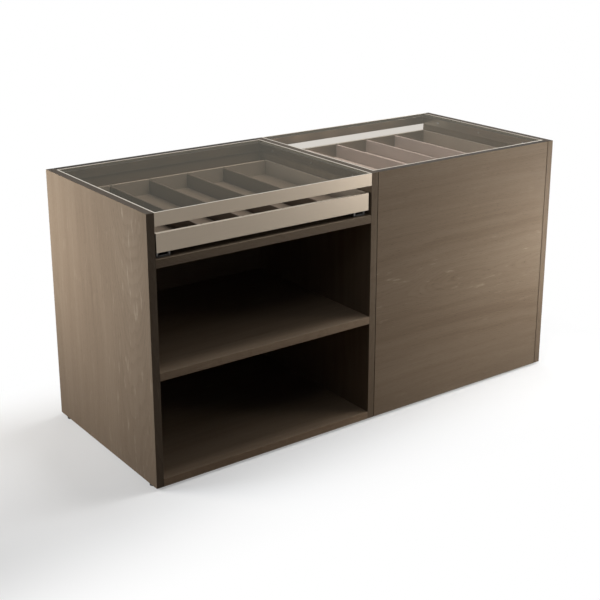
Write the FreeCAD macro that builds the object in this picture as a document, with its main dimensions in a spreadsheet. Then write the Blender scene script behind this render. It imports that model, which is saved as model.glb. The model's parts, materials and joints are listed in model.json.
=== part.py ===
import FreeCAD
import Part
import Sketcher
import os
import re

# A free-standing closet island of two equal modules that share one centre partition.
# The left module opens to the front (-Y). The right module is the same module turned half
# round about the vertical axis, so it opens to the back (+Y) and shows its back panel in front.
# Each module has a bottom panel, two shelves, a back panel, a glass top in a metal frame and
# one shallow jewellery drawer under the glass, on telescopic runners.
#
# Frame: +Z up, X along the length, origin in the middle of the footprint at floor level.
# All values are in millimetres.

driving = [
    # alias, value, what it sets
    ("modulePitch", 800, "centre to centre of neighbouring uprights"),
    ("islandDepth", 650, "front to back over the uprights"),
    ("uprightThick", 25, "thickness of the two side panels and of the partition"),
    ("shelfThick", 25, "thickness of bottom panel, middle shelf and drawer shelf"),
    ("backThick", 25, "thickness of the back panel"),
    ("backGroove", 2, "width of the shadow groove where back panel and upright meet outside"),
    ("backGrooveDepth", 8, "depth of that groove"),
    ("glideHeight", 8, "shadow gap between floor and carcass"),
    ("lowerBay", 312, "clear height under the middle shelf"),
    ("upperBay", 316, "clear height above the middle shelf"),
    ("runnerHeight", 17, "drawer shelf to underside of drawer"),
    ("drawerHeight", 57, "height of the drawer front and walls"),
    ("fingerGap", 23, "drawer front to top frame, where fingers pull the drawer"),
    ("frameHeight", 40, "height of the top frame's rails"),
    ("frameWall", 5, "wall of the top frame's rails"),
    ("ledgeWidth", 8, "ledge inside the rails that carries the glass"),
    ("ledgeThick", 2, "thickness of that ledge"),
    ("glassThick", 6, "glass top"),
    ("glassRecess", 1, "frame's top edge above the glass"),
    ("glassGap", 1, "glass edge to rail"),
    ("glassChamfer", 1, "ground edge round the top of the glass"),
    ("gasketThick", 1, "soft strip between ledge and glass"),
    ("keyThick", 2, "corner key hidden in the mitre of two rails"),
    ("keyLeg", 20, "length of each leg of the corner key"),
    ("keyHeight", 18, "height of the corner key"),
    ("keyRise", 8, "frame's underside to the corner key"),
    ("keyFit", 0.1, "clearance round the corner key"),
    ("sideGap", 7, "drawer to upright, each side"),
    ("drawerRecess", 6, "drawer front behind the carcass's front"),
    ("drawerBackGap", 50, "drawer back to back panel"),
    ("frontThick", 12, "drawer front"),
    ("wallThick", 8, "drawer sides and back"),
    ("floorThick", 6, "drawer floor"),
    ("rebate", 4, "how far the drawer floor is let into the walls"),
    ("dividerThick", 8, "drawer divider"),
    ("dividerPitch", 143.4, "drawer wall to first divider's middle, and on to the next"),
    ("dividerDrop", 3, "divider's top below the drawer's top edge"),
    ("dividerSlot", 3, "how far a divider is let into front and back"),
    ("matThick", 2, "suede mat on the compartment floor"),
    ("matGap", 0.5, "mat to compartment wall"),
    ("runnerInset", 35, "upright to middle of the runner"),
    ("runnerWidth", 44, "outside width of the fixed runner member"),
    ("runnerStart", 18, "carcass's front to front end of the runner"),
    ("runnerEndGap", 57, "back end of the runner to back panel"),
    ("runnerSheet", 1.5, "sheet thickness of the runner members"),
    ("runnerPlay", 0.4, "running gap between nested runner members"),
    ("runnerWall", 12, "height of the fixed member's walls"),
    ("runnerLap", 2.5, "tip of one member to the web of the next"),
    ("reachShare", 0.4, "share of a panel's thickness that a fastener goes into it"),
    ("boreEnd", 0.5, "bore past the end of its fastener"),
    ("boreFit", 0.05, "radial clearance of a fastener in its bore"),
    ("dowelRadius", 4, "carcass dowel"),
    ("dowelInShelf", 20, "carcass dowel's length inside the shelf"),
    ("dowelSetback", 70, "dowel to the shelf's front and back edge"),
    ("backDowelInset", 150, "back panel dowel to the shelf's end"),
    ("camRadius", 7.5, "cam disc"),
    ("camInset", 24, "cam disc's middle to the shelf's end"),
    ("camOver", 5.5, "cam disc past the bolt's axis"),
    ("camSetback", 140, "cam bolt to the shelf's front and back edge"),
    ("boltRadius", 3, "cam bolt"),
    ("boltPast", 2, "cam bolt's tip past the middle of the cam disc"),
    ("pinRadius", 3, "middle shelf's support pin"),
    ("pinInShelf", 12, "support pin's length inside the shelf"),
    ("pinSetback", 90, "support pin to the shelf's front and back edge"),
    ("screwRadius", 2, "shank of the frame and runner screws"),
    ("headRadius", 3.5, "screw head"),
    ("headThick", 1.6, "screw head"),
    ("frameScrewRise", 15, "frame's underside to its screws"),
    ("frameScrewEnd", 90, "rail's end to its first and last screw"),
    ("runnerScrewEnd", 60, "runner's end to its first and last screw"),
    ("runnerScrewGrip", 12, "runner screw's length in the drawer shelf"),
    ("floorSkin", 1.5, "drawer floor left above its screws"),
    ("pegRadius", 2, "wooden peg in the drawer's corners"),
    ("pegInFront", 8, "peg's length in the drawer front"),
    ("pegInSide", 16, "peg's length in the end of a drawer side or back"),
    ("pegShare", 0.6, "share of the drawer side's thickness that a back peg goes into it"),
    ("glideRadius", 11, "floor glide's foot"),
    ("glideSetback", 45, "glide to the carcass's front and back"),
    ("stemRadius", 4, "floor glide's stem"),
    ("stemLength", 25, "floor glide's stem inside the upright"),
]

# Lengths and levels that follow from the driving values.
derived = {
    "openWidth": "modulePitch - uprightThick",
    "islandWidth": "2 * modulePitch + uprightThick",
    "shelfDepth": "islandDepth - backThick",
    "bottomZ": "glideHeight",
    "middleZ": "bottomZ + shelfThick + lowerBay",
    "drawerShelfZ": "middleZ + shelfThick + upperBay",
    "runnerZ": "drawerShelfZ + shelfThick",
    "drawerZ": "runnerZ + runnerHeight",
    "frameZ": "drawerZ + drawerHeight + fingerGap",
    "islandHeight": "frameZ + frameHeight",
    "uprightHeight": "islandHeight - glideHeight",
    "leftX": "-islandWidth / 2",
    "openX": "leftX + uprightThick",
    "frontY": "-islandDepth / 2",
    "uprightReach": "reachShare * uprightThick",
    "backReach": "reachShare * backThick",
    "dowelLength": "uprightReach + dowelInShelf",
    "backDowelLength": "backReach + dowelInShelf",
    "boltLength": "uprightReach + camInset + boltPast",
    "pinLength": "uprightReach + pinInShelf",
    "camHeight": "shelfThick / 2 + camOver",
    "ledgeTop": "frameHeight - glassRecess - glassThick - gasketThick",
    "glassLength": "openWidth - 2 * frameWall - 2 * glassGap",
    "glassDepth": "shelfDepth - 2 * frameWall - 2 * glassGap",
    "keyInset": "(frameWall - keyThick) / 2",
    "drawerX": "openX + sideGap",
    "drawerY": "frontY + drawerRecess",
    "drawerWidth": "openWidth - 2 * sideGap",
    "drawerDepth": "shelfDepth - drawerRecess - drawerBackGap",
    "wallDepth": "drawerDepth - frontThick",
    "innerWidth": "drawerWidth - 2 * wallThick",
    "innerDepth": "drawerDepth - frontThick - wallThick",
    "pegInWall": "pegShare * wallThick",
    "floorScrewGrip": "floorThick - floorSkin",
    "runnerLength": "shelfDepth - runnerStart - runnerEndGap",
    "middleRunnerWidth": "runnerWidth - 2 * runnerSheet - 2 * runnerPlay",
    "drawerRunnerWidth": "middleRunnerWidth - 2 * runnerSheet - 2 * runnerPlay",
    "middleRunnerRise": "runnerSheet + headThick + runnerPlay",
    "middleRunnerWall": "runnerHeight - runnerSheet - runnerLap - middleRunnerRise",
    "drawerRunnerRise": "middleRunnerRise + runnerSheet + runnerPlay",
}

aliases = [alias for alias, value, note in driving]
shelfLevels = {"bottom_panel": "bottomZ", "middle_shelf": "middleZ", "drawer_shelf": "drawerShelfZ"}
overcut = 1  # how far a cutting tool stands out of the face that it enters
dividerCount = 4
modules = (("left", False), ("right", True))  # the right module is turned half round

doc = FreeCAD.newDocument("ClosetIsland")
sheet = doc.addObject("Spreadsheet::Sheet", "Sizes")
for row, (alias, value, note) in enumerate(driving, start=1):
    sheet.set(f"A{row}", str(value))
    sheet.setAlias(f"A{row}", alias)
    sheet.set(f"B{row}", note)
doc.recompute()

pieces = []


def bind(text):
    """Writes out the derived names in an expression and points its aliases at the sheet."""
    def swap(match):
        word = match.group(0)
        if word in derived:
            return "(" + bind(derived[word]) + ")"
        return "Sizes." + word if word in aliases else word
    return re.sub(r"[A-Za-z]\w*", swap, text)


def place(thing, at, turned=False, angle=0, along="Z"):
    """Puts an object at a point of the left module, or at that point turned half round."""
    lean = {"Z": (FreeCAD.Vector(0, 0, 1), 0), "X": (FreeCAD.Vector(0, 1, 0), 90),
            "Y": (FreeCAD.Vector(1, 0, 0), -90)}[along]
    turn = FreeCAD.Rotation(FreeCAD.Vector(0, 0, 1), angle + (180 if turned else 0))
    thing.Placement = FreeCAD.Placement(FreeCAD.Vector(), turn.multiply(FreeCAD.Rotation(*lean)))
    sign = "-1" if turned else "1"
    for axis, text in zip("xy", at):
        thing.setExpression(f"Placement.Base.{axis}", bind(f"{sign} * ({text})"))
    thing.setExpression("Placement.Base.z", bind(at[2]))
    return thing


def box(name, size, at=("0", "0", "0"), turned=False):
    """A plain block with one corner at the given point."""
    block = doc.addObject("Part::Box", name)
    for side, text in zip(("Length", "Width", "Height"), size):
        block.setExpression(side, bind(text))
    return place(block, at, turned)


def rod(name, radius, length, at, along="Z", turned=False):
    """A round bar that starts at the given point and runs along one axis."""
    bar = doc.addObject("Part::Cylinder", name)
    bar.setExpression("Radius", bind(radius))
    bar.setExpression("Height", bind(length))
    return place(bar, at, turned, along=along)


def wedge(name, length, depth, low, high, start="0"):
    """A bar with mitred ends: its length is taken at depth 0 and shrinks by the depth."""
    bar = doc.addObject("Part::Wedge", name)
    far = f"{start} + {depth}"
    bounds = {"Xmin": start, "Xmax": f"{length} - {start}", "X2min": far, "X2max": f"{length} - ({far})",
              "Ymin": start, "Ymax": far, "Zmin": low, "Zmax": high, "Z2min": low, "Z2max": high}
    for side, text in bounds.items():
        bar.setExpression(side, bind(text))
    return bar


def group(name, members):
    """Several solids kept side by side in one shape."""
    bundle = doc.addObject("Part::Compound", name)
    bundle.Links = members
    return bundle


def cut(name, base, tools):
    """The base with every tool taken away."""
    result = doc.addObject("Part::Cut", name)
    result.Base = base
    result.Tool = tools[0] if len(tools) == 1 else group(name + "_tools", tools)
    return result


def fuse(name, base, tool):
    """Two overlapping or touching shapes joined into one."""
    result = doc.addObject("Part::Fuse", name)
    result.Base = base
    result.Tool = tool
    return result


def screw(name, start, length, headStart, along, turned):
    """A pan-head screw: its shank and its head each start at a point and run the same way."""
    shank = rod(name + "_shank", "screwRadius", length, start, along)
    head = rod(name + "_head", "headRadius", "headThick", headStart, along)
    return place(fuse(name, shank, head), ("0", "0", "0"), turned)


def keep(thing, label, at=None, turned=False, angle=0):
    """Names a finished sub-part, places it and puts it on the list of pieces."""
    thing.Label = label
    if at:
        place(thing, at, turned, angle)
    pieces.append(thing)
    return thing


def bothEnds(setback, length):
    """Two positions at the same distance from the two ends of a length."""
    return (setback, f"{length} - {setback}")


# Uprights. Each inner face is bored for the shelves and the top frame of the module on that side.

def uprightBores(name, entersFromLeft, mirrored):
    """Bores from one face of an upright, in the upright's own frame."""
    spots = []
    for level in ("bottomZ", "drawerShelfZ"):
        middle = f"{level} + shelfThick / 2"
        spots += [("dowelRadius", y, middle) for y in bothEnds("dowelSetback", "shelfDepth")]
        spots += [("boltRadius", y, middle) for y in bothEnds("camSetback", "shelfDepth")]
    middle = "middleZ + shelfThick / 2"
    spots += [("pinRadius", y, middle) for y in bothEnds("pinSetback", "shelfDepth")]
    spots += [("screwRadius", y, "frameZ + frameScrewRise") for y in frameScrewPlaces]

    depth = "uprightReach + boreEnd"
    start = f"-{overcut}" if entersFromLeft else f"uprightThick - ({depth})"
    bores = []
    for n, (radius, y, z) in enumerate(spots):
        across = f"islandDepth - ({y})" if mirrored else y
        bores.append(rod(f"{name}_bore_{n}", f"{radius} + boreFit", f"{depth} + {overcut}",
                         (start, across, f"{z} - glideHeight"), "X"))
    return bores


def stemBores(name):
    """Bores for the floor glides in an upright's underside."""
    return [rod(f"{name}_stem_{n}", "stemRadius + boreFit", f"stemLength + boreEnd + {overcut}",
                ("uprightThick / 2", y, f"-{overcut}"))
            for n, y in enumerate(bothEnds("glideSetback", "islandDepth"))]


frameScrewPlaces = ("frameScrewEnd", "shelfDepth / 2", "shelfDepth - frameScrewEnd")
uprightSize = ("uprightThick", "islandDepth", "uprightHeight")

for side, turned in modules:
    name = f"{side}_side_panel"
    bores = uprightBores(name, entersFromLeft=False, mirrored=False) + stemBores(name)
    panel = cut(name, box(name + "_board", uprightSize), bores)
    keep(panel, name, ("leftX", "frontY", "glideHeight"), turned)

name = "centre_partition"
bores = uprightBores(name + "_left", entersFromLeft=True, mirrored=False)
bores += uprightBores(name + "_right", entersFromLeft=False, mirrored=True)
partition = cut(name, box(name + "_board", uprightSize), bores + stemBores(name))
keep(partition, name, ("-uprightThick / 2", "frontY", "glideHeight"))


# Shelves and back panels.

def endBores(name, radius, depth, setback):
    """Bores from both ends of a shelf, at mid thickness, near its front and back edge."""
    bores = []
    for n, y in enumerate(bothEnds(setback, "shelfDepth")):
        for m, x in enumerate((f"-{overcut}", f"openWidth - ({depth})")):
            bores.append(rod(f"{name}_{m}{n}", f"{radius} + boreFit", f"{depth} + {overcut}",
                             (x, y, "shelfThick / 2"), "X"))
    return bores


def camBores(name, base):
    """Round pockets for the four cam discs, open at the face that the discs are put in from."""
    start = f"-{overcut}" if base == "0" else base
    return [rod(f"{name}_cam_{n}", "camRadius + boreFit", f"camHeight + {overcut}", (x, y, start))
            for n, (x, y) in enumerate((x, y) for x in bothEnds("camInset", "openWidth")
                                       for y in bothEnds("camSetback", "shelfDepth"))]


def backEdgeBores(name):
    """Bores in a shelf's back edge for the back panel's dowels."""
    return [rod(f"{name}_back_{n}", "dowelRadius + boreFit", f"dowelInShelf + boreEnd + {overcut}",
                (x, "shelfDepth - dowelInShelf - boreEnd", "shelfThick / 2"), "Y")
            for n, x in enumerate(bothEnds("backDowelInset", "openWidth"))]


runnerPlaces = bothEnds("runnerInset", "openWidth")
runnerScrewPlaces = ("runnerScrewEnd", "runnerLength / 2", "runnerLength - runnerScrewEnd")
camBases = {"bottom_panel": "0", "drawer_shelf": "shelfThick - camHeight"}

for side, turned in modules:
    for shelf, level in shelfLevels.items():
        name = f"{side}_{shelf}"
        bores = backEdgeBores(name)
        if shelf in camBases:
            bores += endBores(name + "_dowel", "dowelRadius", "dowelInShelf + boreEnd", "dowelSetback")
            bores += endBores(name + "_bolt", "boltRadius", "camInset + boltPast", "camSetback")
            bores += camBores(name, camBases[shelf])
        else:
            bores += endBores(name + "_pin", "pinRadius", "pinInShelf + boreEnd", "pinSetback")
        if shelf == "drawer_shelf":
            bores += [rod(f"{name}_screw_{m}{n}", "screwRadius + boreFit",
                          f"runnerScrewGrip + boreEnd + {overcut}",
                          (x, f"runnerStart + {y}", "shelfThick - runnerScrewGrip - boreEnd"))
                      for m, x in enumerate(runnerPlaces) for n, y in enumerate(runnerScrewPlaces)]
        board = box(name + "_board", ("openWidth", "shelfDepth", "shelfThick"))
        keep(cut(name, board, bores), name, ("openX", "frontY", level), turned)

    name = f"{side}_back_panel"
    tools = [rod(f"{name}_{shelf}_{n}", "dowelRadius + boreFit", f"backReach + boreEnd + {overcut}",
                 (x, f"-{overcut}", f"{level} - glideHeight + shelfThick / 2"), "Y")
             for shelf, level in shelfLevels.items()
             for n, x in enumerate(bothEnds("backDowelInset", "openWidth"))]
    grooveSize = (f"backGroove + {overcut}", f"backGrooveDepth + {overcut}", f"uprightHeight + 2 * {overcut}")
    tools += [box(f"{name}_groove_{n}", grooveSize, (x, "backThick - backGrooveDepth", f"-{overcut}"))
              for n, x in enumerate((f"-{overcut}", "openWidth - backGroove"))]
    board = box(name + "_board", ("openWidth", "backThick", "uprightHeight"))
    keep(cut(name, board, tools), name, ("openX", "frontY + shelfDepth", "glideHeight"), turned)


# Hardware of the carcass. Identical fasteners share one sub-part.

dowels = []
bolts = []
cams = []
pins = []
for side, turned in modules:
    for shelf, base in camBases.items():
        level = shelfLevels[shelf]
        middle = f"{level} + shelfThick / 2"
        name = f"{side}_{shelf}"
        for n, y in enumerate(bothEnds("dowelSetback", "shelfDepth")):
            for m, x in enumerate(("openX - uprightReach", "openX + openWidth - dowelInShelf")):
                dowels.append(rod(f"{name}_dowel_{m}{n}", "dowelRadius", "dowelLength",
                                  (x, f"frontY + {y}", middle), "X", turned))
        for n, y in enumerate(bothEnds("camSetback", "shelfDepth")):
            for m, x in enumerate(("openX - uprightReach", "openX + openWidth - camInset - boltPast")):
                bolts.append(rod(f"{name}_bolt_{m}{n}", "boltRadius", "boltLength",
                                 (x, f"frontY + {y}", middle), "X", turned))
            for m, x in enumerate(bothEnds("camInset", "openWidth")):
                disc = rod(f"{name}_disc_{m}{n}", "camRadius", "camHeight", ("0", "0", base))
                mouth = "-camRadius - camRadius" if m == 0 else "-boltPast - boreEnd"
                throat = rod(f"{name}_throat_{m}{n}", "boltRadius + boreFit",
                             "2 * camRadius + boltPast + boreEnd", (mouth, "0", "shelfThick / 2"), "X")
                cam = cut(f"{name}_cam_{m}{n}", disc, [throat])
                cams.append(place(cam, (f"openX + {x}", f"frontY + {y}", level), turned))
    for shelf, level in shelfLevels.items():
        for n, x in enumerate(bothEnds("backDowelInset", "openWidth")):
            dowels.append(rod(f"{side}_{shelf}_back_dowel_{n}", "dowelRadius", "backDowelLength",
                              (f"openX + {x}", "frontY + shelfDepth - dowelInShelf",
                               f"{level} + shelfThick / 2"), "Y", turned))
    for n, y in enumerate(bothEnds("pinSetback", "shelfDepth")):
        for m, x in enumerate(("openX - uprightReach", "openX + openWidth - pinInShelf")):
            pins.append(rod(f"{side}_pin_{m}{n}", "pinRadius", "pinLength",
                            (x, f"frontY + {y}", "middleZ + shelfThick / 2"), "X", turned))
keep(group("dowels", dowels), "carcass_dowels")
keep(group("bolts", bolts), "cam_bolts")
keep(group("cams", cams), "cam_discs")
keep(group("pins", pins), "shelf_pins")

glides = []
for m, x in enumerate(("leftX", "-uprightThick / 2", "-leftX - uprightThick")):
    for n, y in enumerate(bothEnds("glideSetback", "islandDepth")):
        centre = (f"{x} + uprightThick / 2", f"frontY + {y}")
        foot = rod(f"foot_{m}{n}", "glideRadius", "glideHeight", centre + ("0",))
        stem = rod(f"stem_{m}{n}", "stemRadius", "stemLength", centre + ("glideHeight",))
        glides.append(fuse(f"glide_{m}{n}", foot, stem))
keep(group("glides", glides), "floor_glides")


# Top frames: four mitred rails round a sheet of glass, held by screws into the uprights.

def rail(name, length, screwed):
    """One rail along +X: outer face at Y 0, ledge on the inside, slots for the corner keys."""
    wall = wedge(name + "_wall", length, "frameWall", "0", "frameHeight")
    ledge = wedge(name + "_ledge", length, "ledgeWidth", "ledgeTop - ledgeThick", "ledgeTop", "frameWall")
    slotSize = ("keyLeg + 2 * keyFit", "keyThick + 2 * keyFit", "keyHeight + 2 * keyFit")
    starts = ("keyInset - keyFit", f"{length} - keyInset - keyLeg - keyFit")
    tools = [box(f"{name}_slot_{n}", slotSize, (x, "keyInset - keyFit", "keyRise - keyFit"))
             for n, x in enumerate(starts)]
    if screwed:
        tools += [rod(f"{name}_hole_{n}", "screwRadius + boreFit", f"frameWall + 2 * {overcut}",
                      (x, f"-{overcut}", "frameScrewRise"), "Y") for n, x in enumerate(frameScrewPlaces)]
    return cut(name, fuse(name + "_bar", wall, ledge), tools)


def framePlaces():
    """Side of the frame, its length, its starting corner and its turn, going round the frame."""
    near, far = "frontY", "frontY + shelfDepth"
    start, end = "openX", "openX + openWidth"
    return (("front", "openWidth", (start, near, "frameZ"), 0),
            ("right", "shelfDepth", (end, near, "frameZ"), 90),
            ("back", "openWidth", (end, far, "frameZ"), 180),
            ("left", "shelfDepth", (start, far, "frameZ"), 270))


def glassPlate(name):
    """The glass as a padded rectangle with its top edge ground to a small chamfer."""
    plate = doc.addObject("PartDesign::Body", name)
    outline = plate.newObject("Sketcher::SketchObject", name + "_outline")
    floor = [plane for plane in plate.Origin.OriginFeatures if plane.Role == "XY_Plane"][0]
    outline.AttachmentSupport = [(floor, "")]
    outline.MapMode = "FlatFace"
    corners = [FreeCAD.Vector(x, y, 0) for x, y in ((0, 0), (2, 0), (2, 1), (0, 1))]
    for n in range(4):
        outline.addGeometry(Part.LineSegment(corners[n], corners[(n + 1) % 4]))
        outline.addConstraint(Sketcher.Constraint("Horizontal" if n % 2 == 0 else "Vertical", n))
    for n in range(4):
        outline.addConstraint(Sketcher.Constraint("Coincident", n, 2, (n + 1) % 4, 1))
    outline.addConstraint(Sketcher.Constraint("Coincident", 0, 1, -1, 1))
    for line, (kind, text) in enumerate((("DistanceX", "glassLength"), ("DistanceY", "glassDepth"))):
        index = outline.addConstraint(Sketcher.Constraint(kind, line, 1, line, 2, 100))
        outline.setExpression(f"Constraints[{index}]", bind(text))
    pad = plate.newObject("PartDesign::Pad", name + "_sheet")
    pad.Profile = outline
    pad.setExpression("Length", bind("glassThick"))
    doc.recompute()
    top = max(vertex.Z for vertex in pad.Shape.Vertexes)
    rim = [f"Edge{n}" for n, edge in enumerate(pad.Shape.Edges, start=1)
           if all(abs(vertex.Z - top) < 1e-6 for vertex in edge.Vertexes)]
    chamfer = plate.newObject("PartDesign::Chamfer", name + "_rim")
    chamfer.Base = (pad, rim)
    chamfer.setExpression("Size", bind("glassChamfer"))
    return plate


frameScrews = []
keys = []
for side, turned in modules:
    for edge, length, corner, angle in framePlaces():
        name = f"{side}_top_frame_{edge}"
        keep(rail(name, length, edge in ("left", "right")), name, corner, turned, angle)
        leg = ("keyLeg", "keyLeg", "keyHeight")
        inside = box(f"{name}_key_inside", leg, ("keyThick", "keyThick", "0"))
        key = cut(f"{name}_key", box(f"{name}_key_block", leg), [inside])
        inX = "-" if edge in ("right", "back") else "+"
        inY = "-" if edge in ("back", "left") else "+"
        spot = (f"{corner[0]} {inX} keyInset", f"{corner[1]} {inY} keyInset", "frameZ + keyRise")
        keys.append(place(key, spot, turned, angle))
    for n, y in enumerate(frameScrewPlaces):
        line = (f"frontY + {y}", "frameZ + frameScrewRise")
        far = "openX + openWidth - frameWall"
        for edge, start, headStart in (("left", "openX - uprightReach", "openX + frameWall"),
                                       ("right", far, far + " - headThick")):
            frameScrews.append(screw(f"{side}_{edge}_frame_screw_{n}", (start,) + line,
                                     "frameWall + uprightReach", (headStart,) + line, "X", turned))

    glassCorner = ("openX + frameWall + glassGap", "frontY + frameWall + glassGap")
    gasketZ = "frameZ + ledgeTop"
    strip = "(ledgeWidth - glassGap)"
    ring = box(f"{side}_gasket_outside", ("glassLength", "glassDepth", "gasketThick"))
    hollow = box(f"{side}_gasket_inside",
                 (f"glassLength - 2 * {strip}", f"glassDepth - 2 * {strip}", f"gasketThick + 2 * {overcut}"),
                 (strip, strip, f"-{overcut}"))
    gasket = cut(f"{side}_gasket", ring, [hollow])
    keep(gasket, f"{side}_glass_gasket", glassCorner + (gasketZ,), turned)
    glass = glassPlate(f"{side}_glass")
    keep(glass, f"{side}_glass_top", glassCorner + (gasketZ + " + gasketThick",), turned)
keep(group("keys", keys), "frame_corner_keys")
keep(group("frameScrews", frameScrews), "frame_screws")


# Drawers: a shallow tray with four dividers and suede mats, on two bottom-mounted runners.

def drawerPegs(name, at, along, length, turned, member):
    """Two pegs, or the two bores for them, one above the other at a corner of the drawer."""
    radius = "pegRadius" if member == "peg" else "pegRadius + boreFit"
    return [rod(f"{name}_{member}_{n}", radius, length, (at[0], at[1], f"{at[2]} + drawerHeight * {share}"),
                along, turned) for n, share in enumerate((0.35, 0.75))]


def dividerSlots(name, wallX, y):
    """Slots that hold the dividers' ends, where wallX is the drawer's inner left wall."""
    size = ("dividerThick", f"dividerSlot + {overcut}", f"drawerHeight - floorThick + {overcut}")
    start = f"{wallX} - dividerThick / 2"
    return [box(f"{name}_slot_{n}", size, (f"{start} + {n} * dividerPitch", y, "floorThick"))
            for n in range(1, dividerCount + 1)]


def channel(name, width, height, inverted=False, screwed=True):
    """A runner member: a thin channel open at the top, or at the bottom if it is inverted."""
    bar = box(name + "_bar", (width, "runnerLength", height))
    trough = box(name + "_trough", (f"{width} - 2 * runnerSheet", f"runnerLength + 2 * {overcut}", height),
                 ("runnerSheet", f"-{overcut}", "-runnerSheet" if inverted else "runnerSheet"))
    start = f"{height} - runnerSheet - {overcut}" if inverted else f"-{overcut}"
    holes = [rod(f"{name}_hole_{n}", "screwRadius + boreFit", f"runnerSheet + 2 * {overcut}",
                 (f"{width} / 2", y, start)) for n, y in enumerate(runnerScrewPlaces)] if screwed else []
    return cut(name, bar, [trough] + holes)


runnerScrews = []
for side, turned in modules:
    drawer = f"{side}_drawer"
    corner = ("drawerX", "drawerY", "drawerZ")

    # Front, rebated for the floor, slotted for the dividers and bored for the pegs.
    name = drawer + "_front"
    tools = [box(name + "_rebate", ("drawerWidth - 2 * (wallThick - rebate)", f"rebate + {overcut}",
                                    f"floorThick + {overcut}"),
                 ("wallThick - rebate", "frontThick - rebate", f"-{overcut}"))]
    tools += dividerSlots(name, "wallThick", "frontThick - dividerSlot")
    for end, x in (("a", "wallThick / 2"), ("b", "drawerWidth - wallThick / 2")):
        tools += drawerPegs(f"{name}_{end}", (x, "frontThick - pegInFront - boreEnd", "0"), "Y",
                            f"pegInFront + boreEnd + {overcut}", False, "bore")
    board = box(name + "_board", ("drawerWidth", "frontThick", "drawerHeight"))
    keep(cut(name, board, tools), name, corner, turned)

    # Sides, from the front to the drawer's end.
    for end, x, inner, start in (("left", "0", "wallThick - rebate", "wallThick - pegInWall - boreEnd"),
                                 ("right", "drawerWidth - wallThick", f"-{overcut}", f"-{overcut}")):
        name = f"{drawer}_{end}_side"
        rebateLength = f"wallDepth - wallThick + rebate + {overcut}"
        tools = [box(name + "_rebate", (f"rebate + {overcut}", rebateLength, f"floorThick + {overcut}"),
                     (inner, f"-{overcut}", f"-{overcut}"))]
        tools += drawerPegs(name + "_a", ("wallThick / 2", f"-{overcut}", "0"), "Y",
                            f"pegInSide + boreEnd + {overcut}", False, "bore")
        tools += drawerPegs(name + "_b", (start, "wallDepth - wallThick / 2", "0"), "X",
                            f"pegInWall + boreEnd + {overcut}", False, "bore")
        board = box(name + "_board", ("wallThick", "wallDepth", "drawerHeight"))
        keep(cut(name, board, tools), name,
             (f"drawerX + {x}", "drawerY + frontThick", "drawerZ"), turned)

    # Back, between the sides.
    name = drawer + "_back"
    rebateSize = (f"innerWidth + 2 * {overcut}", f"rebate + {overcut}", f"floorThick + {overcut}")
    tools = [box(name + "_rebate", rebateSize, (f"-{overcut}", f"-{overcut}", f"-{overcut}"))]
    tools += dividerSlots(name, "0", f"-{overcut}")
    for end, x in (("a", f"-{overcut}"), ("b", "innerWidth - pegInSide - boreEnd")):
        tools += drawerPegs(f"{name}_{end}", (x, "wallThick / 2", "0"), "X",
                            f"pegInSide + boreEnd + {overcut}", False, "bore")
    board = box(name + "_board", ("innerWidth", "wallThick", "drawerHeight"))
    keep(cut(name, board, tools), name,
         ("drawerX + wallThick", "drawerY + drawerDepth - wallThick", "drawerZ"), turned)

    # Pegs in the four corners.
    pegs = []
    for end, x in (("left", "drawerX + wallThick / 2"), ("right", "drawerX + drawerWidth - wallThick / 2")):
        start = (x, "drawerY + frontThick - pegInFront", "drawerZ")
        pegs += drawerPegs(f"{drawer}_{end}_front", start, "Y", "pegInFront + pegInSide", turned, "peg")
    for end, x in (("left", "drawerX + wallThick - pegInWall"),
                   ("right", "drawerX + drawerWidth - wallThick - pegInSide")):
        start = (x, "drawerY + drawerDepth - wallThick / 2", "drawerZ")
        pegs += drawerPegs(f"{drawer}_{end}_back", start, "X", "pegInSide + pegInWall", turned, "peg")
    keep(group(drawer + "_peg_set", pegs), drawer + "_pegs")

    # Floor, let into all four walls, with bores for the runner screws.
    name = drawer + "_floor"
    tools = [rod(f"{name}_screw_{m}{n}", "screwRadius + boreFit", f"floorScrewGrip + boreEnd + {overcut}",
                 (f"{x} - sideGap - wallThick + rebate",
                  f"runnerStart - drawerRecess - frontThick + rebate + {y}", f"-{overcut}"))
             for m, x in enumerate(runnerPlaces) for n, y in enumerate(runnerScrewPlaces)]
    board = box(name + "_board", ("innerWidth + 2 * rebate", "innerDepth + 2 * rebate", "floorThick"))
    keep(cut(name, board, tools), name,
         ("drawerX + wallThick - rebate", "drawerY + frontThick - rebate", "drawerZ"), turned)

    # Dividers and the mats between them.
    dividerSize = ("dividerThick", "innerDepth + 2 * dividerSlot", "drawerHeight - floorThick - dividerDrop")
    dividers = [box(f"{drawer}_divider_{n}", dividerSize,
                    (f"drawerX + wallThick + {n} * dividerPitch - dividerThick / 2",
                     "drawerY + frontThick - dividerSlot", "drawerZ + floorThick"), turned)
                for n in range(1, dividerCount + 1)]
    keep(group(drawer + "_divider_set", dividers), drawer + "_dividers")
    edges = ["0"]
    for n in range(1, dividerCount + 1):
        edges += [f"{n} * dividerPitch - dividerThick / 2", f"{n} * dividerPitch + dividerThick / 2"]
    edges.append("innerWidth")
    mats = [box(f"{drawer}_mat_{n}",
                (f"({high}) - ({low}) - 2 * matGap", "innerDepth - 2 * matGap", "matThick"),
                (f"drawerX + wallThick + {low} + matGap", "drawerY + frontThick + matGap",
                 "drawerZ + floorThick"), turned)
            for n, (low, high) in enumerate(zip(edges[::2], edges[1::2]))]
    keep(group(drawer + "_mat_set", mats), drawer + "_mats")

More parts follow.
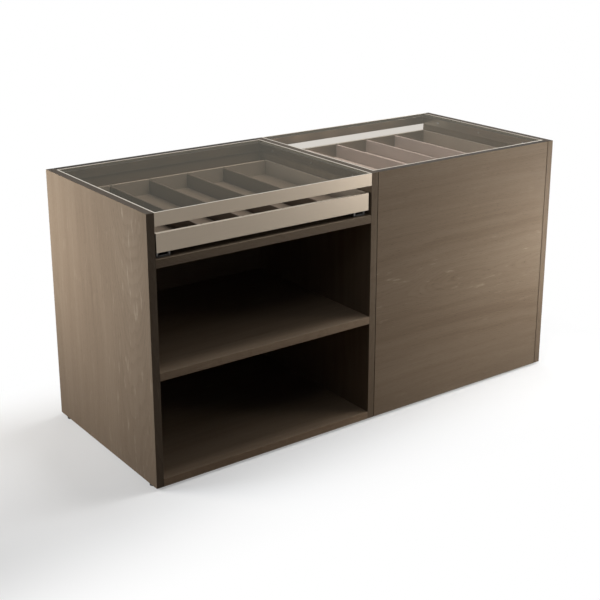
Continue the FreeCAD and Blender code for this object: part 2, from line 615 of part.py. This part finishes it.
    # Runners: a fixed channel on the drawer shelf, a middle channel inside it and an inverted
    # channel under the drawer floor inside that.
    fixed, middle, carried, floorScrews = [], [], [], []
    for m, x in enumerate(runnerPlaces):
        name = f"{drawer}_runner_{m}"
        centre = f"openX + {x}"
        front = "frontY + runnerStart"
        member = channel(name + "_fixed", "runnerWidth", "runnerWall")
        fixed.append(place(member, (f"{centre} - runnerWidth / 2", front, "runnerZ"), turned))
        member = channel(name + "_middle", "middleRunnerWidth", "middleRunnerWall", screwed=False)
        middle.append(place(member, (f"{centre} - middleRunnerWidth / 2", front,
                                     "runnerZ + middleRunnerRise"), turned))
        member = channel(name + "_carried", "drawerRunnerWidth", "(runnerHeight - drawerRunnerRise)",
                         inverted=True)
        carried.append(place(member, (f"{centre} - drawerRunnerWidth / 2", front,
                                      "runnerZ + drawerRunnerRise"), turned))
        for n, y in enumerate(runnerScrewPlaces):
            spot = (centre, f"{front} + {y}")
            runnerScrews.append(screw(f"{name}_screw_{n}", spot + ("runnerZ - runnerScrewGrip",),
                                      "runnerSheet + runnerScrewGrip", spot + ("runnerZ + runnerSheet",),
                                      "Z", turned))
            floorScrews.append(screw(f"{name}_floor_screw_{n}", spot + ("drawerZ - runnerSheet",),
                                     "runnerSheet + floorScrewGrip",
                                     spot + ("drawerZ - runnerSheet - headThick",), "Z", turned))
    keep(group(drawer + "_fixed_pair", fixed), drawer + "_fixed_runners")
    keep(group(drawer + "_middle_pair", middle), drawer + "_middle_runners")
    keep(group(drawer + "_carried_pair", carried), drawer + "_carried_runners")
    keep(group(drawer + "_floor_screw_set", floorScrews), drawer + "_runner_screws")
keep(group("runnerScrews", runnerScrews), "fixed_runner_screws")


# Recompute, test every object and write one file for each sub-part.

doc.recompute()
for thing in doc.Objects:
    if "Invalid" in thing.State or "Error" in thing.State:
        raise RuntimeError(f"{thing.Name} did not recompute: {thing.State}")
labels = [piece.Label for piece in pieces]
if len(labels) != len(set(labels)):
    raise RuntimeError("two sub-parts share a label")
os.makedirs("parts", exist_ok=True)
for piece in pieces:
    shape = piece.Shape
    if shape.isNull() or not shape.isValid() or not shape.Solids:
        raise RuntimeError(f"{piece.Label} has no valid solid")
for piece in pieces:
    piece.Shape.exportStep(f"parts/{piece.Label}.step")
    print(f"{piece.Label}: {len(piece.Shape.Solids)} solids, {piece.Shape.Volume / 1000:.1f} cm3")
print(f"{len(pieces)} sub-parts")
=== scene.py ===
import json
import math

import bmesh
import bpy
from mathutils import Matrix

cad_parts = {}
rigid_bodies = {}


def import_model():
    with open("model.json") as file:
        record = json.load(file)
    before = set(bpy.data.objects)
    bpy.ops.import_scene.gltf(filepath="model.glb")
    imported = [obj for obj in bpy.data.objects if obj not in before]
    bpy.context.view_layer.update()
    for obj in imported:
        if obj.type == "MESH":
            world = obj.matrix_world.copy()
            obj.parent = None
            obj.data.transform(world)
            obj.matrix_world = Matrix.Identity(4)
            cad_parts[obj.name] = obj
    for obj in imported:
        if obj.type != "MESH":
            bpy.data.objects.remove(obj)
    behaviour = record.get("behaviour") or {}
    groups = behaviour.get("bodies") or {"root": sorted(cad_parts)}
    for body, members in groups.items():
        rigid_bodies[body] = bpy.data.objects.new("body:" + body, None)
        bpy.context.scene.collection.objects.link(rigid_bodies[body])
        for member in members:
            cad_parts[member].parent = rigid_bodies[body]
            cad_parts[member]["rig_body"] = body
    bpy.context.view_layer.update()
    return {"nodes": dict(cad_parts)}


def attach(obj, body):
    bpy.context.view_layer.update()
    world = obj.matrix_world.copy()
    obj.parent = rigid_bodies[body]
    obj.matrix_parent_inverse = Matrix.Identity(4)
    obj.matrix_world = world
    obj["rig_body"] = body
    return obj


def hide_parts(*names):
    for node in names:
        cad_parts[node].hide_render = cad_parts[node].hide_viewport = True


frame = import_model()
cadNodes = frame["nodes"]
print("stage: frame loaded,", len(cadNodes), "nodes")

white = (1.0, 1.0, 1.0, 1.0)


def linear(level):  # a level as it looks on screen, 0 to 255, made linear
    share = level / 255
    return share / 12.92 if share <= 0.04045 else ((share + 0.055) / 1.055) ** 2.4


def rgb(red, green, blue):
    return (linear(red), linear(green), linear(blue), 1.0)


def dimmed(colour, share):
    return tuple(part * share for part in colour[:3]) + (1.0,)


def takeOnly(thing):
    bpy.ops.object.select_all(action="DESELECT")
    thing.select_set(True)
    bpy.context.view_layer.objects.active = thing


camera = {
    "place": (-2.2695, -3.0315, 1.7070),
    "yaw": 36.164,  # degrees from the y axis to the right
    "pitch": 17.023,  # degrees downwards
    "lens": 69.519,
    "shift": -0.1,
    "farthest": 60,
}

bpy.ops.object.camera_add(
    location=camera["place"],
    rotation=(math.radians(90 - camera["pitch"]), 0, math.radians(-camera["yaw"])),
)
viewer = bpy.context.object
viewer.name = "viewer"
viewer.data.lens = camera["lens"]
viewer.data.shift_y = camera["shift"]
viewer.data.clip_end = camera["farthest"]
bpy.context.scene.camera = viewer
print("stage: camera")


class Wire:  # a socket that takes part in plain arithmetic
    def __init__(self, finish, socket):
        self.finish = finish
        self.socket = socket

    def __add__(self, other):
        return self.finish.math("ADD", self, other)

    __radd__ = __add__

    def __sub__(self, other):
        return self.finish.math("SUBTRACT", self, other)

    def __rsub__(self, other):
        return self.finish.math("SUBTRACT", other, self)

    def __mul__(self, other):
        return self.finish.math("MULTIPLY", self, other)

    __rmul__ = __mul__

    def __truediv__(self, other):
        return self.finish.math("DIVIDE", self, other)

    def __rtruediv__(self, other):
        return self.finish.math("DIVIDE", other, self)

    def __gt__(self, other):
        return self.finish.math("GREATER_THAN", self, other)

    def __abs__(self):
        return self.finish.math("ABSOLUTE", self)

    def output(self, name):  # another socket of the same node
        return Wire(self.finish, self.socket.node.outputs[name])


class Finish:  # the nodes of one material, or of the world
    def __init__(self, owner):
        owner.use_nodes = True
        self.owner = owner
        self.tree = owner.node_tree
        self.tree.nodes.clear()

    def node(self, kind, settings=None, inputs=None, output=0):
        made = self.tree.nodes.new("ShaderNode" + kind)
        for name, value in (settings or {}).items():
            if name == "stops":
                while len(made.color_ramp.elements) < len(value):
                    made.color_ramp.elements.new(0.5)
                for stop, (at, colour) in zip(made.color_ramp.elements, value):
                    stop.position, stop.color = at, colour
            else:
                setattr(made, name, value)
        for key, value in (inputs or {}).items():
            if isinstance(value, Wire):
                self.tree.links.new(value.socket, made.inputs[key])
            else:
                made.inputs[key].default_value = value
        return Wire(self, made.outputs[output])

    def math(self, operation, first, second=0.0):
        return self.node("Math", {"operation": operation}, {0: first, 1: second})

    def place(self):
        return self.node("TexCoord", output="Object")

    def facing(self):
        return self.node("NewGeometry", output="Normal")

    def parts(self, vector):
        split = self.node("SeparateXYZ", None, {0: vector})
        return [split.output(axis) for axis in ("X", "Y", "Z")]

    def seen(self):  # 1 for what the camera sees, straight, mirrored or through glass
        rays = self.node("LightPath", output="Is Camera Ray")
        onward = self.math("MAXIMUM", rays.output("Is Glossy Ray"), rays.output("Is Transmission Ray"))
        return self.math("MAXIMUM", rays, onward)

    def noise(self, vector, cells, detail, roughness):  # cells per metre, one number or one for each way
        each = cells if isinstance(cells, tuple) else (cells,) * 3
        scaled = self.node("VectorMath", {"operation": "MULTIPLY"}, {0: vector, 1: each})
        inputs = {"Vector": scaled, "Scale": 1.0, "Detail": detail, "Roughness": roughness}
        return self.node("TexNoise", {"noise_dimensions": "3D"}, inputs)

    def spread(self, value, low, high, start=0.0, end=1.0):  # low..high becomes start..end, held at both
        inputs = {"Value": value, "From Min": low, "From Max": high, "To Min": start, "To Max": end}
        return self.node("MapRange", {"interpolation_type": "SMOOTHSTEP"}, inputs)

    def mix(self, share, first, second, blend="MIX"):
        settings = {"data_type": "RGBA", "blend_type": blend}
        return self.node("Mix", settings, {0: share, 6: first, 7: second}, output=2)

    def bump(self, height, strength, distance):
        return self.node("Bump", None, {"Strength": strength, "Distance": distance, "Height": height})

    def surface(self, inputs):
        return self.show(self.node("BsdfPrincipled", None, inputs))

    def show(self, shader, kind="OutputMaterial"):
        out = self.tree.nodes.new("ShaderNode" + kind)
        self.tree.links.new(shader.socket, out.inputs["Surface"])
        return self.owner


def newFinish(name):
    return Finish(bpy.data.materials.new(name))


oak = {
    "dark": rgb(77, 63, 50),
    "middle": rgb(110, 96, 81),
    "light": rgb(136, 123, 107),
    "pore": rgb(52, 41, 31),
    "stops": (0.05, 0.5, 0.95),  # the shades that are dark, middle and light
    "roughness": (0.54, 0.68),
    "shine": 0.10,
    "square": 0.7,  # a face looks along an axis when its normal has more of it than this
    "seedSteps": (1.7, 0.61, 0.23),  # metres by which a seed moves the figure
    "bandStep": 3.1,
    "ring": 0.0055,  # metres from one year to the next
    "lateWood": (0.05, 0.75),  # the part of a year in which the wood gets denser
    "slant": 0.3,  # how fast the heart's depth changes through the board
    "pith": 0.0002,  # square metres, so that no ring shrinks to a point
    "bands": (26.0, 3.0, 0.6),  # broad bands per metre from the heart, detail, roughness
    "drift": 0.012,  # the bands hardly change along the board
    "heart": (0.03, 0.16, 1.0, 0.25),  # the pale flecks thin out away from the heart
    "fleckFade": 0.12,
    "pores": (0.60, 0.72),
    "closed": 0.7,  # the share of the pores that late wood closes
    "layers": {  # cells per metre along and across the grain, detail, roughness
        "sway": (1.3, 2.2, 1.0, 0.5),
        "ripple": (7.0, 12.0, 3.0, 0.6),
        "climb": (2.1, 1.0, 1.0, 0.5),
        "wander": (3.0, 16.0, 2.0, 0.5),
        "streaks": (2.2, 95.0, 3.0, 0.6),
        "fibres": (14.0, 900.0, 2.0, 0.6),
        "cloud": (0.9, 3.6, 2.0, 0.5),
        "dashes": (55.0, 1300.0, 1.0, 0.5),
        "wisps": (11.0, 62.0, 3.0, 0.6),
    },
    "stray": {"sway": 0.12, "ripple": 0.03, "climb": 0.09},  # metres that the heart line strays
    "wander": 2.2,  # years that a ring strays
    "shade": {"bands": 0.36, "streaks": 0.19, "lateWood": 0.045, "fibres": 0.15, "wisps": 0.34},
    "poreShare": 0.42,  # how strongly a pore takes its own colour
    "relief": {"fibres": 0.35, "lateWood": 0.35, "pores": 0.8, "strength": 0.35, "height": 0.00025},
    "worn": {"pores": 0.3, "range": (0.3, 0.9)},  # what the roughness follows
}


def oakFinish(name, board):
    finish = newFinish(name)
    grain, across, seed = board["grain"], board["across"], board["seed"]
    deep = 3 - grain - across
    axes = finish.parts(finish.place())
    normals = finish.parts(finish.facing())
    turned = abs(normals[grain]) > oak["square"]  # on the ends the banding runs across
    narrow = 1 - (abs(normals[deep]) > oak["square"])
    # painted shade: the narrow faces that look up, to be painted darker
    paintedTopShade = narrow * (normals[2] > oak["square"])
    along = axes[grain] + (axes[across] - axes[grain]) * turned
    side = axes[across] + (axes[grain] - axes[across]) * turned
    moved = [axis + seed * step for axis, step in zip((along, side, axes[deep]), oak["seedSteps"])]
    wood = finish.node("CombineXYZ", None, dict(enumerate(moved)))

    def layer(kind):
        lengthwise, crosswise, detail, roughness = oak["layers"][kind]
        return finish.noise(wood, (lengthwise, crosswise, crosswise), detail, roughness)

    def swing(value, width):  # 0..1 becomes half the width to each side of nothing
        return (value - 0.5) * width

    stray = {kind: swing(layer(kind), width) for kind, width in oak["stray"].items()}
    centre = side - board["middle"] + stray["sway"] + stray["ripple"]
    depth = board["lift"] + along * board["taper"] + axes[deep] * oak["slant"] + stray["climb"]
    radius = finish.math("SQRT", centre * centre + depth * depth + oak["pith"])
    year = finish.math("FRACT", radius / oak["ring"] + layer("wander") * oak["wander"])
    lateWood = finish.spread(year, *oak["lateWood"])
    fromHeart = {0: radius, 1: along * oak["drift"], 2: seed * oak["bandStep"]}
    bands = finish.noise(finish.node("CombineXYZ", None, fromHeart), *oak["bands"])
    fibres = layer("fibres")
    flecks = finish.spread(layer("wisps"), board["flecks"], board["flecks"] + oak["fleckFade"])
    wisps = flecks * finish.spread(abs(centre), *oak["heart"])
    pores = finish.spread(layer("dashes"), *oak["pores"]) * (1 - lateWood * oak["closed"])

    # the tone shifts a whole board; on the bottom panels and middle shelves it is painted shade
    weight = oak["shade"]
    shade = (
        0.5
        + board["tone"]
        + swing(bands, weight["bands"])
        + swing(layer("streaks"), weight["streaks"])
        + swing(lateWood, weight["lateWood"])
        + swing(fibres, weight["fibres"])
        + swing(layer("cloud"), board["cloudy"])
        + wisps * weight["wisps"]
    )
    stops = list(zip(oak["stops"], (oak["dark"], oak["middle"], oak["light"])))
    colour = finish.node("ValToRGB", {"stops": stops}, {0: shade})
    colour = finish.mix(pores * oak["poreShare"], colour, oak["pore"])
    # the narrow faces take their own level, partly the edge banding's own colour and partly painted shade
    colour = finish.mix(narrow, colour, dimmed(white, board["edge"]), "MULTIPLY")
    # painted shade: the narrow faces that look up are darkened, as if little light fell on them from above
    colour = finish.mix(paintedTopShade, colour, dimmed(white, board["top"]), "MULTIPLY")
    relief, worn = oak["relief"], oak["worn"]
    height = fibres * relief["fibres"] + lateWood * relief["lateWood"] - pores * relief["pores"]
    return finish.surface(
        {
            "Base Color": colour,
            "Roughness": finish.spread(fibres + pores * worn["pores"], *worn["range"], *oak["roughness"]),
            "Normal": finish.bump(height, relief["strength"], relief["height"]),
            "Specular IOR Level": oak["shine"],
        }
    )


# A noise is given as cells per metre, detail and roughness, and contrast is the part of it that shows.
metal = {
    "champagne": rgb(138, 127, 113),
    "polished": rgb(206, 198, 184),  # painted highlight: the faces that look up are painted lighter, as if they caught the light
    "upward": (0.2, 0.7),  # from a face that hardly looks up to one that does
    "dim": 0.90,
    "along": 12.0,
    "across": 2400.0,
    "brush": (3.0, 0.6),
    "haze": (4.0, 2.0, 0.5),
    "shares": (0.7, 0.3),  # of the brush marks and of the haze
    "contrast": (0.3, 0.7),
    "roughness": (0.30, 0.40),
    "relief": (0.12, 0.00006),  # strength, metres
    "seedSteps": (1.0, 1.3, 0.7),
}


def brushedMetal(name, direction, seed=0.0):  # brushed along 0 = x, 1 = y, 2 = z
    finish = newFinish(name)
    shift = tuple(seed * step for step in metal["seedSteps"])
    moved = finish.node("VectorMath", {"operation": "ADD"}, {0: finish.place(), 1: shift})
    cells = tuple(metal["along" if axis == direction else "across"] for axis in range(3))
    lines = finish.noise(moved, cells, *metal["brush"])
    haze = finish.noise(moved, *metal["haze"])
    linesShare, hazeShare = metal["shares"]
    shade = finish.spread(lines * linesShare + haze * hazeShare, *metal["contrast"])
    brushed = finish.mix(shade, dimmed(metal["champagne"], metal["dim"]), metal["champagne"])
    # painted highlight on the faces that look up
    upward = finish.spread(finish.parts(finish.facing())[2], *metal["upward"])
    return finish.surface(
        {
            "Base Color": finish.mix(upward, brushed, metal["polished"]),
            "Metallic": 1.0,
            "Roughness": finish.spread(lines, *metal["contrast"], *metal["roughness"]),
            "Normal": finish.bump(lines, *metal["relief"]),
        }
    )


lacquer = {
    "peel": (420.0, 2.0, 0.5),
    "cloud": (7.0, 2.0, 0.5),
    "shares": (0.7, 0.3),  # of the cloud and of the peel
    "contrast": (0.3, 0.7),
    "dim": 0.86,
    "roughness": (0.43, 0.55),
    "relief": (0.10, 0.0003),
}


def lacquerFinish(name, colour):
    finish = newFinish(name)
    place = finish.place()
    peel = finish.noise(place, *lacquer["peel"])
    cloud = finish.noise(place, *lacquer["cloud"])
    cloudShare, peelShare = lacquer["shares"]
    shade = finish.spread(cloud * cloudShare + peel * peelShare, *lacquer["contrast"])
    return finish.surface(
        {
            "Base Color": finish.mix(shade, dimmed(colour, lacquer["dim"]), colour),
            "Roughness": finish.spread(peel, *lacquer["contrast"], *lacquer["roughness"]),
            "Normal": finish.bump(peel, *lacquer["relief"]),
        }
    )


suede = {
    "nap": (900.0, 3.0, 0.65),
    "strokes": ((16.0, 34.0, 16.0), 3.0, 0.6),
    "shares": (0.5, 0.5),  # of the nap and of the strokes
    "contrast": (0.28, 0.72),
    "dim": 0.76,
    "worn": (0.2, 0.8),
    "roughness": (0.82, 0.98),
    "sheen": 0.35,
    "sheenRoughness": 0.4,
    "relief": (0.35, 0.0005),
}


def suedeFinish(name, colour):
    finish = newFinish(name)
    place = finish.place()
    nap = finish.noise(place, *suede["nap"])
    strokes = finish.noise(place, *suede["strokes"])
    napShare, strokesShare = suede["shares"]
    shade = finish.spread(nap * napShare + strokes * strokesShare, *suede["contrast"])
    return finish.surface(
        {
            "Base Color": finish.mix(shade, dimmed(colour, suede["dim"]), colour),
            "Roughness": finish.spread(nap, *suede["worn"], *suede["roughness"]),
            "Sheen Weight": suede["sheen"],
            "Sheen Roughness": suede["sheenRoughness"],
            "Normal": finish.bump(nap, *suede["relief"]),
        }
    )


plain = {
    "speck": (3.0, 0.6),
    "contrast": (0.3, 0.7),
    "dim": 0.84,
    "uneven": (0.85, 1.15),  # how far the roughness strays
    "relief": (0.08, 0.0002),
}


def plainFinish(name, colour, roughness, cells, metallic=0.0):
    finish = newFinish(name)
    speck = finish.noise(finish.place(), cells, *plain["speck"])
    shade = finish.spread(speck, *plain["contrast"])
    least, most = (roughness * share for share in plain["uneven"])
    return finish.surface(
        {
            "Base Color": finish.mix(shade, dimmed(colour, plain["dim"]), colour),
            "Metallic": metallic,
            "Roughness": finish.spread(speck, *plain["contrast"], least, most),
            "Normal": finish.bump(speck, *plain["relief"]),
        }
    )


glass = {
    "smoke": (0.91, 0.885, 0.855, 1.0),  # let through by each face of the sheet
    "cut": rgb(96, 90, 78),
    "sheen": (0.31, 0.295, 0.25, 1.0),
    "index": 1.5,
    "roughness": 0.03,
    "lying": 0.5,  # a face whose normal rises less than this is a cut edge
}


def glassFinish(name):
    finish = newFinish(name)
    outer = 1 - finish.node("NewGeometry", output="Backfacing")
    straight = ((glass["index"] - 1) / (glass["index"] + 1)) ** 2  # what it mirrors looked at squarely
    mirror = (finish.node("Fresnel", None, {"IOR": glass["index"]}) - straight) * outer
    through = finish.node("BsdfTransparent", None, {"Color": glass["smoke"]})
    shine = finish.node("BsdfAnisotropic", None, {"Color": glass["sheen"], "Roughness": glass["roughness"]})
    sheet = finish.node("MixShader", None, {0: mirror, 1: through, 2: shine})
    lying = abs(finish.parts(finish.facing())[2]) > glass["lying"]
    cut = finish.node("BsdfDiffuse", None, {"Color": glass["cut"]})  # no light comes through the edges
    return finish.show(finish.node("MixShader", None, {0: lying, 1: cut, 2: sheet}))


finishes = {
    "frontMetal": brushedMetal("frontMetal", 0),
    "sideMetal": brushedMetal("sideMetal", 1, seed=2.3),
    "tray": lacquerFinish("trayLacquer", rgb(150, 140, 128)),
    "leftDivider": lacquerFinish("brownLacquer", rgb(70, 59, 49)),
    "rightDivider": lacquerFinish("mauveLacquer", rgb(176, 164, 160)),
    "leftSuede": suedeFinish("greySuede", rgb(92, 82, 71)),
    "rightSuede": suedeFinish("mauveSuede", rgb(202, 189, 184)),
    "glass": glassFinish("smokedGlass"),
    "rubber": plainFinish("blackRubber", rgb(38, 37, 36), 0.7, 700.0),
    # painted shade: the zinc steel is painted dark so that the runners read as shadow under the drawers
    "zinc": plainFinish("darkZincSteel", rgb(98, 96, 94), 0.42, 260.0, metallic=1.0),
    "fastener": plainFinish("fastenerSteel", rgb(184, 184, 186), 0.3, 600.0, metallic=1.0),
    "aluminium": plainFinish("rawAluminium", rgb(200, 200, 202), 0.42, 420.0, metallic=1.0),
    "beech": plainFinish("beech", rgb(205, 174, 138), 0.6, 240.0),
    "nylon": plainFinish("blackNylon", rgb(44, 44, 44), 0.5, 500.0),
}
print("stage: finishes")

easing = {  # the width of an eased edge in metres, and its steps
    "board": (0.0009, 2),
    "metal": (0.0006, 2),
    "tray": (0.0012, 2),
    "divider": (0.0018, 2),
    "mat": (0.0009, 3),
    "merged": 0.00001,
    "flat": math.radians(0.3),  # faces that meet flatter than this become one
    "sharp": math.radians(40),
    "shortest": 0.012,  # shorter edges stay as they are
}


def easedCopy(node, width, steps):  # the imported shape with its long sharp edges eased
    first, *others = node.split("_")
    name = first + "".join(word.capitalize() for word in others)
    piece = bpy.data.objects.new(name, cadNodes[node].data.copy())
    bpy.context.scene.collection.objects.link(piece)
    takeOnly(piece)
    bpy.ops.object.mode_set(mode="EDIT")
    bpy.ops.mesh.select_all(action="SELECT")
    bpy.ops.mesh.remove_doubles(threshold=easing["merged"])
    bpy.ops.mesh.dissolve_limited(angle_limit=easing["flat"], use_dissolve_boundaries=False)
    bpy.ops.mesh.select_all(action="DESELECT")
    bpy.ops.mesh.select_mode(type="EDGE")
    shape = bmesh.from_edit_mesh(piece.data)
    for edge in shape.edges:
        if len(edge.link_faces) == 2 and edge.is_convex and edge.calc_length() > easing["shortest"]:
            edge.select_set(edge.calc_face_angle() > easing["sharp"])
    bmesh.update_edit_mesh(piece.data)
    bpy.ops.mesh.bevel(
        affect="EDGES", offset_type="OFFSET", offset=width, segments=steps, clamp_overlap=True
    )
    bpy.ops.object.mode_set(mode="OBJECT")
    bpy.ops.object.shade_smooth_by_angle(angle=easing["sharp"])
    weighted = piece.modifiers.new("evenNormals", "WEIGHTED_NORMAL")
    weighted.keep_sharp = True
    bpy.ops.object.modifier_apply(modifier=weighted.name)
    return piece


def paint(piece, finish):
    piece.data.materials.clear()
    piece.data.materials.append(finish)


def settle(node, ease, finish):  # the eased copy takes the node's place
    piece = easedCopy(node, *easing[ease])
    paint(piece, finish)
    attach(piece, cadNodes[node]["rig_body"])
    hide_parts(node)


# Lengths are in metres, and directions are 0 = x, 1 = y, 2 = z.
usualBoard = {
    "grain": 0,  # the way that the grain runs
    "across": 1,  # the board's other broad way
    "middle": 0.0,  # where the heart of the figure is, across the board
    "lift": 0.05,  # how deep the heart lies
    "taper": 0.10,  # how fast that changes along the board
    "tone": 0.0,
    "edge": 0.72,  # how bright the narrow faces are beside the broad ones: partly the edge banding's own colour, partly painted shade
    "top": 0.26,  # painted shade: how much darker the narrow faces that look up are painted, beside the other narrow ones
    "cloudy": 0.60,
    "flecks": 0.62,  # the higher, the fewer
}
boards = {
    "left_side_panel": {
        "grain": 2,
        "seed": 1.0,
        "middle": -0.20,
        "lift": 0.02,
        "taper": 0.06,
        # painted shade on this board's narrow faces, set for the light that falls on it
        "edge": 0.5,
        "top": 0.46,
        "cloudy": 0.3,
        "flecks": 0.585,
    },
    "right_side_panel": {"grain": 2, "seed": 2.0, "middle": 0.12, "edge": 0.92},
    "centre_partition": {"grain": 2, "seed": 3.0, "middle": 0.05, "edge": 0.8},
    # painted shade: these boards are painted darker by their tone, and their narrow faces are brightened
    # back by their edge
    "left_bottom_panel": {"seed": 4.0, "middle": 0.10, "tone": -0.13, "edge": 1.75},
    "right_bottom_panel": {"seed": 5.0, "middle": -0.10, "tone": -0.13, "edge": 1.75},
    "left_middle_shelf": {"seed": 6.0, "middle": 0.02, "tone": -0.13, "edge": 1.3},
    "right_middle_shelf": {"seed": 7.0, "middle": -0.04, "tone": -0.13, "edge": 1.3},
    "left_drawer_shelf": {"seed": 8.0, "middle": -0.12, "edge": 0.76},
    "right_drawer_shelf": {"seed": 9.0, "middle": 0.14, "edge": 0.76},
    "left_back_panel": {"across": 2, "seed": 10.0, "middle": 0.30, "edge": 0.5},
    "right_back_panel": {
        "across": 2,
        "seed": 11.0,
        "middle": 0.42,
        "lift": 0.03,
        "taper": 0.05,
        "tone": 0.04,
        "edge": 0.5,
        "cloudy": 0.36,
        "flecks": 0.61,
    },
}

for node, board in boards.items():
    settle(node, "board", oakFinish(node, {**usualBoard, **board}))
print("stage: boards")

modules = ("left", "right")
for module in modules:
    for side in ("front", "right", "back", "left"):
        brushed = finishes["frontMetal" if side in ("front", "back") else "sideMetal"]
        settle(f"{module}_top_frame_{side}", "metal", brushed)
    drawer = module + "_drawer_"
    settle(drawer + "front", "metal", finishes["frontMetal"])
    for wall in ("left_side", "right_side", "back"):
        settle(drawer + wall, "tray", finishes["tray"])
    settle(drawer + "dividers", "divider", finishes[module + "Divider"])
    settle(drawer + "mats", "mat", finishes[module + "Suede"])
print("stage: frames and drawers")

runners = ("fixed_runners", "middle_runners", "carried_runners")
carried = {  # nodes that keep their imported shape
    "glass": [f"{module}_glass_top" for module in modules],
    "rubber": [f"{module}_glass_gasket" for module in modules],
    "tray": [f"{module}_drawer_floor" for module in modules],
    "zinc": [f"{module}_drawer_{member}" for module in modules for member in runners] + ["cam_discs"],
    "fastener": [f"{module}_drawer_runner_screws" for module in modules]
    + ["cam_bolts", "shelf_pins", "frame_screws", "fixed_runner_screws"],
    "aluminium": ["frame_corner_keys"],
    "beech": [f"{module}_drawer_pegs" for module in modules] + ["carcass_dowels"],
    "nylon": ["floor_glides"],
}
for finish, names in carried.items():
    for name in names:
        paint(cadNodes[name], finishes[finish])
print("stage: carried nodes")

neutral = (1.0, 1.0, 1.0)
cool = (0.93, 0.965, 1.0)
coolest = (0.87, 0.93, 1.0)
warm = (1.0, 0.93, 0.84)
studio = {
    "ambient": 0.012,
    "floor": rgb(190, 190, 190),
    "floorBounce": rgb(84, 64, 44),  # what the floor throws back on the object
    "floorGlow": 0.30,  # white that the camera and the reflections see on top of the lit floor
    "floorSize": 40,
    "fades": {  # where the floor turns white, in metres, and how white it is at the two ends
        "distance": (1.6, 3.2, 0.0, 1.0),
        "right": (0.85, 1.30, 0.0, 1.0),
        "back": (0.30, 0.62, 0.0, 1.0),
        "front": (-0.80, -0.33, 1.0, 0.0),
    },
    "lamps": {  # place, aim, size in metres, watts, spread in degrees, tint
        "key": ((3.2, -0.6, 2.3), (0.0, 0.0, 0.6), 1.5, 40, 180, cool),
        "right": ((1.3, -0.8, 0.6), (0.8, -0.3, 0.5), 0.4, 3.6, 130, cool),
        "front": ((1.5, -1.3, 0.65), (0.6, -0.3, 0.42), 0.5, 3.6, 80, warm),
        "low": ((1.5, -1.9, 0.45), (0.0, -0.3, 0.8), 0.6, 0.8, 60, neutral),
        "left": ((-2.35, 0.6, 1.15), (-0.81, 0.02, 0.84), 0.7, 8.0, 75, coolest),
        "leftLow": ((-1.9, 0.85, 0.85), (-0.81, 0.28, 0.55), 0.5, 5.8, 90, warm),
        "top": ((0.3, 0.0, 2.6), (0.0, 0.0, 0.8), 1.5, 28, 100, neutral),
        "topFront": ((-0.3, -1.2, 2.3), (0.0, 0.0, 0.8), 1.0, 2.0, 100, neutral),
        "back": ((0.9, 2.6, 0.55), (0.1, 0.3, 0.45), 0.8, 26, 140, neutral),
    },
    "mirrored": ("key", "low"),  # only these lamps show in the metal and the glass
}


def lightStudio():
    world = Finish(bpy.data.worlds.new("studio"))
    strength = world.spread(world.seen(), 0.0, 1.0, studio["ambient"], 1.0)
    light = world.node("Background", None, {"Color": white, "Strength": strength})
    bpy.context.scene.world = world.show(light, "OutputWorld")
    for name, (place, aim, size, watts, spread, tint) in studio["lamps"].items():
        bpy.ops.object.light_add(type="AREA", location=place)
        lamp = bpy.context.object
        lamp.name = name + "Lamp"
        lamp.data.size = size
        lamp.data.energy = watts
        lamp.data.spread = math.radians(spread)
        lamp.data.color = tint
        lamp.visible_camera = False
        lamp.visible_glossy = name in studio["mirrored"]
        away = lamp.location - type(lamp.location)(aim)
        lamp.rotation_euler = away.to_track_quat("Z", "Y").to_euler()


def layFloor():
    finish = newFinish("floor")
    seen = finish.seen()
    place = finish.place()
    distance = finish.node("VectorMath", {"operation": "LENGTH"}, {0: place}, output="Value")
    x, y = finish.parts(place)[:2]
    beyond = 0.0
    for way, line in {"distance": distance, "right": x, "back": y, "front": y}.items():
        beyond = finish.math("MAXIMUM", beyond, finish.spread(line, *studio["fades"][way]))
    tint = finish.mix(seen, studio["floorBounce"], studio["floor"])
    lit = finish.node("BsdfDiffuse", None, {"Color": tint})
    glow = finish.node("Emission", None, {"Color": white, "Strength": seen * studio["floorGlow"]})
    near = finish.node("AddShader", None, {0: lit, 1: glow})
    far = finish.node("Emission", None, {"Color": white, "Strength": 1.0})
    bpy.ops.mesh.primitive_plane_add(size=studio["floorSize"], location=(0, 0, 0))
    floor = bpy.context.object
    floor.name = "floor"
    paint(floor, finish.show(finish.node("MixShader", None, {0: seen * beyond, 1: near, 2: far})))


lightStudio()
layFloor()
bpy.context.scene.view_settings.view_transform = "Standard"
print("stage: studio")
